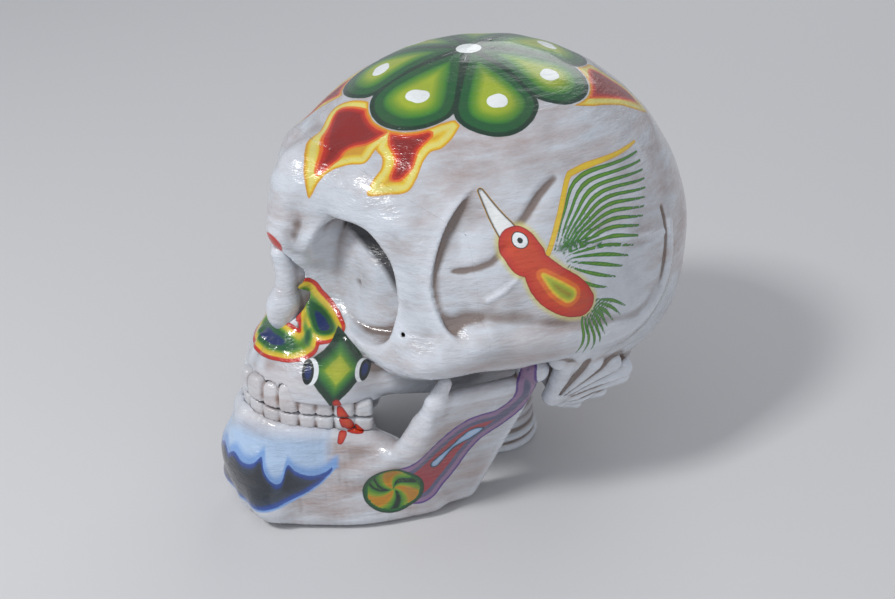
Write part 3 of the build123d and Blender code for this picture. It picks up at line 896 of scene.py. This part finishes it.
# What is painted on each piece, from the bottom coat up. A layer is its distance attribute, the distance
# at which its edge lies, how far that edge is blurred, and its colours as (mm inside the edge, colour).
HEAD_PAINT = [
    ("blaze", 0.0, 0.3, ((0.0, OCHRE), (0.4, OCHRE), (0.9, YELLOW), (1.5, PALE_YELLOW), (2.6, PALE_YELLOW),
                         (3.6, YELLOW), (4.8, OCHRE))),
    ("ember", -0.6, 0.4, ((0.0, ORANGE), (0.7, ORANGE), (1.1, RED), (2.8, DEEP_RED))),
    ("petal", 0.0, 0.3, ((0.0, BLACK_GREEN), (1.5, BLACK_GREEN), (2.2, DARK_GREEN), (4.8, DARK_GREEN),
                         (6.0, MID_GREEN), (8.0, LEAF), (10.5, LIME))),
    ("petal_dot", 0.0, 0.3, even((0.80, 0.84, 0.84))),
    ("bird_halo", -1.0, 2.0, even((0.62, 0.56, 0.22))),
    ("bird_wing", 0.0, 0.2, ((0.0, DARK_GREEN), (0.2, MID_GREEN), (0.5, LEAF))),
    ("bird_edge", 0.0, 0.3, ((0.0, OCHRE), (0.4, YELLOW))),
    ("bird_beak", -0.8, 0.2, ((0.0, OCHRE), (0.35, INK), (0.9, (0.78, 0.80, 0.80)))),
    ("bird_body", 0.0, 0.25, ((0.0, DEEP_RED), (0.6, RED), (3.0, (0.56, 0.05, 0.012)))),
    ("bird_heart", -1.6, 0.6, ((0.0, ORANGE), (1.2, ORANGE), (1.9, YELLOW), (3.0, LIME),
                               (4.2, (0.30, 0.24, 0.012)))),
    ("bird_pupil", -1.7, 0.2, even(INK)),
    ("bird_pupil", -1.4, 0.2, even((0.78, 0.82, 0.84))),
    ("bird_pupil", 0.0, 0.2, even(INK)),
]
TONGUE_PAINT = ("tongue", -1.0, 0.2, ((0.0, DEEP_RED), (0.5, RED), (1.2, (0.60, 0.06, 0.012))))
FACE_PAINT = [
    ("socket_shade", -0.8, 2.2, even(SHADE)),
    *HEAD_PAINT[:3],
    ("ribbon", -4.2, 0.25, ((0.0, DEEP_RED), (0.4, RED), (1.2, RED), (1.7, YELLOW), (2.8, OLIVE), (3.4, LEAF),
                            (4.2, DARK_GREEN), (5.2, DARK_GREEN), (5.7, NAVY))),
    ("diamond", 0.0, 0.3, ((0.0, BLACK_GREEN), (1.8, BLACK_GREEN), (2.8, DARK_GREEN), (4.4, MID_GREEN),
                           (5.6, LEAF), (6.3, LIME), (8.0, (0.42, 0.46, 0.03)))),
    ("diamond_white", 0.0, 0.2, even((0.74, 0.78, 0.80))),
    ("diamond_eye", 0.0, 0.2, ((0.0, INK), (0.9, INK), (1.6, NAVY))),
    TONGUE_PAINT,
    ("nose_tip", 0.0, 0.6, even(RED)),
]
JAW_PAINT = [
    ("haze", 0.0, 7.0, even(HAZE)),
    ("beard_halo", -2.8, 2.2, even((0.20, 0.36, 0.68))),
    ("beard", -0.2, 0.4, ((0.0, (0.03, 0.09, 0.36)), (1.3, (0.02, 0.05, 0.22)), (1.9, SLATE),
                          (4.0, (0.018, 0.024, 0.035)))),
    ("band", 0.0, 0.3, ((0.0, VIOLET), (0.7, VIOLET), (1.1, MAUVE), (2.6, MAUVE), (3.2, GREY_VIOLET),
                        (4.8, GREY_VIOLET), (5.3, BRICK), (7.5, BRICK))),
    ("band_core", -0.7, 0.2, ((0.0, SLATE), (0.5, SLATE), (0.8, SKY), (1.5, HAZE))),
    ("disc", 0.0, 0.3, ((0.0, BLACK_GREEN), (1.4, DARK_GREEN), (2.6, MID_GREEN))),
    ("disc_swirl", -5.0, 0.1, ((0.0, INK), (0.35, BLACK_GREEN), (0.9, MID_GREEN), (2.2, LEAF),
                               (3.6, (0.24, 0.30, 0.02)), (4.5, GOLD), (5.4, (0.46, 0.20, 0.01)))),
    TONGUE_PAINT,
]
# What is painted with a fine brush, whose edges waver less.
FINE_LAYERS = ("bird_wing", "bird_edge", "bird_beak", "bird_pupil", "diamond_eye", "diamond_white", "tongue",
               "band_core")


# ---------------------------------------------------------------- materials

class Tree:
    """Short calls for building one material's nodes."""

    def __init__(self, name):
        self.material = bpy.data.materials.new(name)
        self.material.use_nodes = True
        self.nodes, self.links = self.material.node_tree.nodes, self.material.node_tree.links
        self.surface = self.nodes["Principled BSDF"]

    def set(self, socket, value):
        if isinstance(value, bpy.types.NodeSocket):
            self.links.new(value, socket)
        else:
            socket.default_value = value

    def shade(self, **values):
        """Sets or links the shader's sockets. Spaces in their names are written as underscores."""
        for name, value in values.items():
            self.set(self.surface.inputs[name.replace("_", " ")], value)

    def node(self, kind, settings=None, **inputs):
        node = self.nodes.new(kind)
        for name, value in (settings or {}).items():
            setattr(node, name, value)
        for name, value in inputs.items():
            self.set(node.inputs[name], value)
        return node

    def math(self, operation, a, b=0.0, clamp=False):
        node = self.nodes.new("ShaderNodeMath")
        node.operation, node.use_clamp = operation, clamp
        self.set(node.inputs[0], a)
        self.set(node.inputs[1], b)
        return node.outputs[0]

    def mix(self, factor, a, b):
        node = self.nodes.new("ShaderNodeMix")
        node.data_type = "RGBA"
        self.set(node.inputs[0], factor)
        for socket, value in ((node.inputs[6], a), (node.inputs[7], b)):
            self.set(socket, (*value, 1.0) if isinstance(value, tuple) else value)
        return node.outputs[2]

    def attribute(self, name):
        return self.node("ShaderNodeAttribute", {"attribute_name": name}).outputs["Fac"]

    def ramp(self, value, stops):
        node = self.nodes.new("ShaderNodeValToRGB")
        ramp = node.color_ramp
        while len(ramp.elements) < len(stops):
            ramp.elements.new(0.5)
        for element, (place, colour) in zip(ramp.elements, stops):
            element.position = place
            element.color = (*colour, 1.0)
        self.set(node.inputs[0], value)
        return node.outputs[0]

    def fade(self, value, start, end):
        """Black up to start, white from end."""
        return self.ramp(value, ((start, (0, 0, 0)), (end, (1, 1, 1))))

    def times(self, a, b):
        return self.math("MULTIPLY", a, b)

    def noise(self, scale, detail=3.0, stretch=(1, 1, 1), roughness=0.55):
        place = self.node("ShaderNodeTexCoord").outputs["Object"]
        shaped = self.node("ShaderNodeMapping", Vector=place, Scale=stretch)
        node = self.node("ShaderNodeTexNoise", Vector=shaped.outputs[0], Scale=scale, Detail=detail,
                         Roughness=roughness)
        return node.outputs["Fac"]


def plaster_coat(tree, base, wash=1.0):
    """White plaster under varnish: bluish white, with a brown wash in the hollows and in brush streaks, and a
    painted highlight that lightens the raised places beyond the plaster's own white.
    """
    clouds = tree.fade(tree.noise(22, 4), 0.35, 0.7)
    colour = tree.mix(clouds, base, tuple(0.80 * c for c in base))
    streaks = tree.times(tree.noise(60, 5, (1, 0.35, 2.6), 0.7), tree.noise(14, 2))
    streaks = tree.fade(streaks, 0.19, 0.38)
    colour = tree.mix(tree.times(streaks, 0.72 * wash), colour, (0.34, 0.22, 0.18))
    hollow = tree.times(tree.attribute("hollow"), tree.math("ADD", tree.noise(90, 4), 0.45))
    hollow = tree.fade(hollow, 0.015, 0.2)
    colour = tree.mix(tree.times(hollow, 0.85 * wash), colour, (0.14, 0.085, 0.06))
    # Painted highlight: the raised places are lightened above the plaster's own white, as where light catches
    # them.
    high = tree.fade(tree.times(tree.attribute("hollow"), -1.0), 0.04, 0.3)
    return tree.mix(tree.times(high, 0.5), colour, tuple(min(1.0, 1.18 * c) for c in base))


def painted_layer(tree, below, wobble, layer):
    """One painted motif over what is below it, in bands of colour from its edge inwards."""
    name, edge, blur, bands = layer
    shake = 0.35 if name in FINE_LAYERS else 1.0
    inside = tree.math("SUBTRACT", tree.times(wobble, shake), tree.attribute(name))
    inside = tree.math("SUBTRACT", inside, edge)
    cover = tree.math("ADD", tree.math("DIVIDE", inside, blur), 0.5, clamp=True)
    if len(bands) == 1:
        colour = bands[0][1]
    else:
        reach = bands[-1][0] + 1.0
        colour = tree.ramp(tree.math("DIVIDE", inside, reach, clamp=True), [(d / reach, c) for d, c in bands])
    return tree.mix(cover, below, colour)


def varnish(tree, colour):
    """The gloss coat, with brush marks and small pits under it."""
    gloss = tree.ramp(tree.noise(40, 3), ((0.3, (0.20, 0.20, 0.20)), (0.75, (0.38, 0.38, 0.38))))
    tree.shade(Base_Color=colour, Roughness=gloss, Coat_Weight=0.6, Coat_Roughness=0.07, IOR=1.5)
    brush = tree.noise(110, 4, (1, 0.4, 2.2), 0.65)
    pits = tree.node("ShaderNodeTexVoronoi", {"feature": "F1"}, Scale=190.0,
                     Vector=tree.node("ShaderNodeTexCoord").outputs["Object"]).outputs["Distance"]
    pits = tree.times(tree.math("LESS_THAN", pits, 0.16), tree.math("GREATER_THAN", tree.noise(55, 2), 0.60))
    height = tree.math("SUBTRACT", tree.times(brush, 0.8), tree.times(pits, 0.9))
    lumps = tree.times(tree.noise(28, 2), 1.2)
    bump = tree.node("ShaderNodeBump", Height=tree.math("ADD", height, lumps), Strength=0.8, Distance=0.0016)
    tree.shade(Normal=bump.outputs["Normal"])


def plaster(name, layers=(), base=WHITE, wash=1.0):
    tree = Tree(name)
    colour = plaster_coat(tree, base, wash)
    wobble = tree.times(tree.math("SUBTRACT", tree.noise(130, 3), 0.5), 0.9)
    for layer in layers:
        colour = painted_layer(tree, colour, wobble, layer)
    grime = tree.fade(tree.noise(75, 4), 0.45, 0.8)
    colour = tree.mix(tree.times(grime, 0.22), colour, (0.10, 0.08, 0.07))
    varnish(tree, colour)
    return tree.material


def steel(name):
    """Drawn steel rod: fine marks along it and a little tarnish."""
    tree = Tree(name)
    marks = tree.noise(900, 3, (0.04, 1, 1))
    tarnish = tree.noise(160, 4)
    colour = tree.ramp(tree.times(marks, tarnish),
                       ((0.1, (0.30, 0.28, 0.26)), (0.45, (0.60, 0.60, 0.61))))
    gloss = tree.ramp(tarnish, ((0.3, (0.25, 0.25, 0.25)), (0.8, (0.5, 0.5, 0.5))))
    bump = tree.node("ShaderNodeBump", Height=marks, Strength=0.2, Distance=0.0002)
    tree.shade(Base_Color=colour, Metallic=1.0, Roughness=gloss, Normal=bump.outputs["Normal"])
    return tree.material


# ---------------------------------------------------------------- pieces

def placed(name, data):
    """A new object in the scene."""
    thing = bpy.data.objects.new(name, data)
    bpy.context.scene.collection.objects.link(thing)
    return thing


def sampled(field, values, points):
    """Values of a field at points, by trilinear interpolation."""
    start = np.array([axis[0] for axis in field.axes])
    place = (points - start) / field.voxel
    cell = np.clip(np.floor(place).astype(int), 0, np.array(values.shape) - 2)
    part = np.clip(place - cell, 0, 1)
    total = 0.0
    for corner in np.ndindex(2, 2, 2):
        weight = np.prod(np.where(corner, part, 1 - part), axis=1)
        total = total + weight * values[tuple((cell + corner).T)]
    return total


def slope(distance, points, step=0.4):
    """The direction in which a distance grows."""
    grown = np.stack([distance(points + step * unit) - distance(points - step * unit) for unit in np.eye(3)],
                     axis=1)
    return grown / np.maximum(np.linalg.norm(grown, axis=1), 1e-6)[:, None]


def sharpened(points, first, second, reach):
    """Moves the points that round off a cut edge out on to it, where both distances are zero."""
    near = np.nonzero((np.abs(first(points)) < reach) & (np.abs(second(points)) < reach))[0]
    moved = points[near]
    for _ in range(4):
        for distance in (first, second):
            moved = moved - distance(moved)[:, None] * slope(distance, moved)
    far = np.linalg.norm(moved - points[near], axis=1) > 2 * reach
    moved[far] = points[near][far]
    points = points.copy()
    points[near] = moved
    return points


def relief(field):
    """How deep each place of a grid lies among its surroundings, in mm: above zero in hollows."""
    level = np.clip(field.values, -RELIEF_REACH, RELIEF_REACH).astype(np.float64)
    reach = max(1, round(RELIEF_REACH / field.voxel))
    for _ in range(2):
        for axis in range(3):
            wide = np.pad(level, [(reach + 1, reach) if i == axis else (0, 0) for i in range(3)], "edge")
            total = np.cumsum(wide, axis=axis)
            ahead = np.take(total, range(2 * reach + 1, total.shape[axis]), axis=axis)
            behind = np.take(total, range(0, total.shape[axis] - 2 * reach - 1), axis=axis)
            level = (ahead - behind) / (2 * reach + 1)
    return -level


def make_piece(name, field, body, nodes, material, paints=(), edge=None, depths=None):
    """Meshes a field, paints it, and lets it stand for CAD nodes. depths is the relief of the uncut field."""
    points, quads = field.surface()
    local = points - (0, EAR_Y, 0)
    if edge:
        local = sharpened(local, *edge, 0.8 * field.voxel)
        points = local + (0, EAR_Y, 0)
    mesh = bpy.data.meshes.new(name)
    mesh.from_pydata((points * MM).tolist(), [], quads.tolist())
    mesh.shade_smooth()
    if edge:
        mesh.set_sharp_from_angle(angle=math.radians(50))
    depths = relief(field) if depths is None else depths
    socket = np.linalg.norm(mirrored_side(local) - SOCKET_FLOOR, axis=1)
    attributes = {"hollow": sampled(field, depths, local) * (0.25 + 0.75 * smoothstep(socket, 17, 25))}
    for paint in paints:
        attributes.update(paint(local))
    for key, values in attributes.items():
        layer = mesh.attributes.new(key, "FLOAT", "POINT")
        layer.data.foreach_set("value", np.clip(values, -60, 60).astype(np.float32))
    mesh.materials.append(material)
    piece = placed(name, mesh)
    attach(piece, body)
    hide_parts(*nodes)


def column(points):
    return points[:, 0], points[:, 1], points[:, 2]


def head_pieces():
    """The head's one surface, cut along the glued joints into face, vault and hollow base."""
    head = head_field()
    x, y, z = head.places()
    inner = np.maximum(ellipsoid(CASE_CENTRE, [r - WALL for r in CASE_RADII])[0](x, y, z),
                       underside([r - WALL for r in UNDER_RADII])(x, y, z))
    inner = np.maximum(inner, head.values + 0.8 * WALL)
    side = np.broadcast_to(face_side(x, y, z), head.values.shape)
    inner = np.maximum(inner, WALL - side)
    pit_middle, pit_half, pit_round = CHEEK_PIT
    pit = rounded_box(pit_middle, [h + WALL for h in pit_half], pit_round)[0](np.abs(x), y, z)
    inner = np.maximum(inner, -pit)
    seam = np.broadcast_to(seam_side(x, y, z), head.values.shape)
    shell = np.maximum(head.values, -inner)
    gap = SEAM_GAP / 2
    shells = {
        "face": (head.values, side + gap, lambda p: face_side(*column(p)) + gap),
        "cranial_vault": (shell, gap - np.minimum(side, seam),
                          lambda p: gap - np.minimum(face_side(*column(p)), seam_side(*column(p)))),
        "cranial_base": (shell, gap - np.minimum(side, -seam),
                         lambda p: gap - np.minimum(face_side(*column(p)), -seam_side(*column(p)))),
    }
    depths = relief(head)
    paints = {"face": (flower, flames, muzzle, socket_shade), "cranial_vault": (flower, flames, bird),
              "cranial_base": (bird,)}
    layers = {"face": FACE_PAINT, "cranial_vault": HEAD_PAINT, "cranial_base": HEAD_PAINT[4:]}
    for name, (whole, cut, cut_distance) in shells.items():
        field = head.like(head.axes, np.maximum(whole, cut).astype(np.float32))
        nodes = [name]
        if name == "cranial_base":
            nodes += ["left_zygomatic_arch", "right_zygomatic_arch", "left_mastoid", "right_mastoid"]
        slot = {"face": "painted_face", "cranial_vault": "painted_vault",
                "cranial_base": "painted_base"}[name]
        edge = (lambda p, whole=whole: sampled(head, whole, p), cut_distance)
        make_piece("sculpted_" + name, field, "cranium", nodes, plaster(slot, layers[name]),
                   paints[name], edge, depths)


head_pieces()
glazed = plaster("glazed_plaster")
teeth_paint = plaster("glazed_teeth", [TONGUE_PAINT], (0.63, 0.66, 0.70), 1.2)
make_piece("sculpted_mandible", jaw_field(), "jaw", ["mandible"],
           plaster("painted_jaw", JAW_PAINT), (jaw_paint, muzzle))
make_piece("sculpted_upper_teeth", tooth_row(UPPER_CROWNS, 1), "cranium", ["upper_teeth"],
           teeth_paint, (muzzle,))
make_piece("sculpted_lower_teeth", tooth_row(LOWER_CROWNS, -1), "jaw", ["lower_teeth"],
           teeth_paint, (muzzle,))
make_piece("sculpted_septum", septum_field(), "cranium", ["nasal_septum"], glazed)
make_piece("sculpted_neck", neck_field(), "cranium", ["neck_stub"], glazed)

pin_steel = steel("steel_pin")
for node in ("left_jaw_pin", "right_jaw_pin"):
    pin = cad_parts[node]
    for place in range(len(pin.material_slots)):
        pin.material_slots[place].material = pin_steel


# ---------------------------------------------------------------- camera, floor and lights

def add_camera():
    """A view from the skull's left front, looking down."""
    azimuth, elevation = math.radians(57.33), math.radians(27.5)
    level = math.cos(elevation)
    back = Vector((math.sin(azimuth) * level, -math.cos(azimuth) * level, math.sin(elevation)))
    across = Vector((math.cos(azimuth), math.sin(azimuth), 0))
    up = back.cross(across)
    data = bpy.data.cameras.new("view")
    data.sensor_width = 36.0
    data.lens = 56.1
    camera = placed("view", data)
    place = Vector((412.99, -281.70 + EAR_Y, 322.18)) * MM
    camera.matrix_world = Matrix((
        (across.x, up.x, back.x, place.x), (across.y, up.y, back.y, place.y),
        (across.z, up.z, back.z, place.z), (0, 0, 0, 1)))
    bpy.context.scene.camera = camera


def add_floor():
    mesh = bpy.data.meshes.new("floor")
    size = 3.0
    mesh.from_pydata([(-size, -size, 0), (size, -size, 0), (size, size, 0), (-size, size, 0)], [],
                     [(0, 1, 2, 3)])
    tree = Tree("floor")
    tree.shade(Base_Color=(0.62, 0.62, 0.63, 1), Roughness=0.85)
    mesh.materials.append(tree.material)
    placed("floor", mesh)


def add_light(name, place, size, power, colour=(1, 1, 1)):
    data = bpy.data.lights.new(name, "AREA")
    data.size, data.energy, data.color = size, power, colour
    lamp = placed(name, data)
    lamp.location = place
    aim = Vector((0, 0, 0.08)) - Vector(place)
    lamp.rotation_euler = aim.to_track_quat("-Z", "Y").to_euler()


def add_lights():
    bpy.context.scene.view_settings.view_transform = "Standard"
    world = bpy.data.worlds.new("studio")
    bpy.context.scene.world = world
    world.use_nodes = True
    background = world.node_tree.nodes["Background"]
    background.inputs["Color"].default_value = (0.9, 0.93, 1.0, 1)
    background.inputs["Strength"].default_value = 0.42
    add_light("key", (0.15, -0.85, 1.0), 0.2, 9)
    add_light("fill", (1.3, -0.3, 0.7), 2.0, 5)
    add_light("rim", (-0.7, 0.9, 0.9), 0.8, 3)


add_camera()
add_floor()
add_lights()
